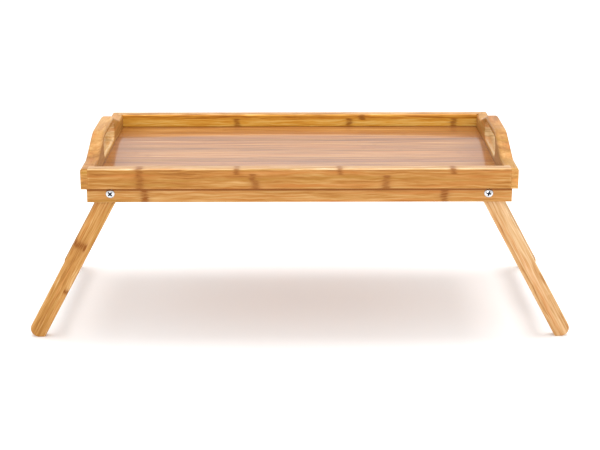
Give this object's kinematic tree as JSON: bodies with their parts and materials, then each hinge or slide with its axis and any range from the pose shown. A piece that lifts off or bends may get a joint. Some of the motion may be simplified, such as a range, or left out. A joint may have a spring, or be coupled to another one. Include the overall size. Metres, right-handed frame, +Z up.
{
  "type": "folding tray table",
  "caption": "Rectangular bamboo bed tray with raised, pierced end handles, on splayed leg frames that fold in flat beneath it.",
  "frame": {"origin": "on the floor, midway between the feet of the open table", "axes": "+X to the right along the tray's long side, +Y to the back, +Z up"},
  "size_m": [0.6412, 0.3, 0.231],
  "materials": {
    "rim_bamboo": "satin lacquered laminated bamboo",
    "floor_bamboo": "semi-gloss lacquered bamboo strips",
    "leg_bamboo": "satin lacquered laminated bamboo",
    "dowel_wood": "plain turned hardwood",
    "bright_steel": "bright plated",
    "zinc_steel": "zinc plated",
    "nylon": "natural nylon"
  },
  "bodies": {
    "tray": {"front_rail": "rim_bamboo", "back_rail": "rim_bamboo", "left_side_panel": "rim_bamboo", "right_side_panel": "rim_bamboo", "tray_panel": "floor_bamboo", "lower_front_rail": "rim_bamboo", "lower_back_rail": "rim_bamboo", "left_stop_rail": "rim_bamboo", "right_stop_rail": "rim_bamboo", "corner_brads": "zinc_steel", "lower_rail_screws": "zinc_steel", "stop_rail_screws": "zinc_steel", "left_pivot_bolts": "bright_steel", "left_spacer_washers": "nylon", "left_nut_washers": "zinc_steel", "left_lock_nuts": "zinc_steel", "right_pivot_bolts": "bright_steel", "right_spacer_washers": "nylon", "right_nut_washers": "zinc_steel", "right_lock_nuts": "zinc_steel"},
    "left_legs": {"front_left_leg": "leg_bamboo", "back_left_leg": "leg_bamboo", "left_crossbar": "leg_bamboo", "left_crossbar_dowels": "dowel_wood"},
    "right_legs": {"front_right_leg": "leg_bamboo", "back_right_leg": "leg_bamboo", "right_crossbar": "leg_bamboo", "right_crossbar_dowels": "dowel_wood"}
  },
  "joints": [
    {"name": "left_leg_fold", "type": "hinge", "parent": "tray", "child": "left_legs", "pos_m": [-0.217, 0, 0.181], "axis": [0, -1, 0], "range_deg": [0, 118.6]},
    {"name": "right_leg_fold", "type": "hinge", "parent": "tray", "child": "right_legs", "pos_m": [0.217, 0, 0.181], "axis": [0, 1, 0], "range_deg": [0, 118.6]}
  ]
}
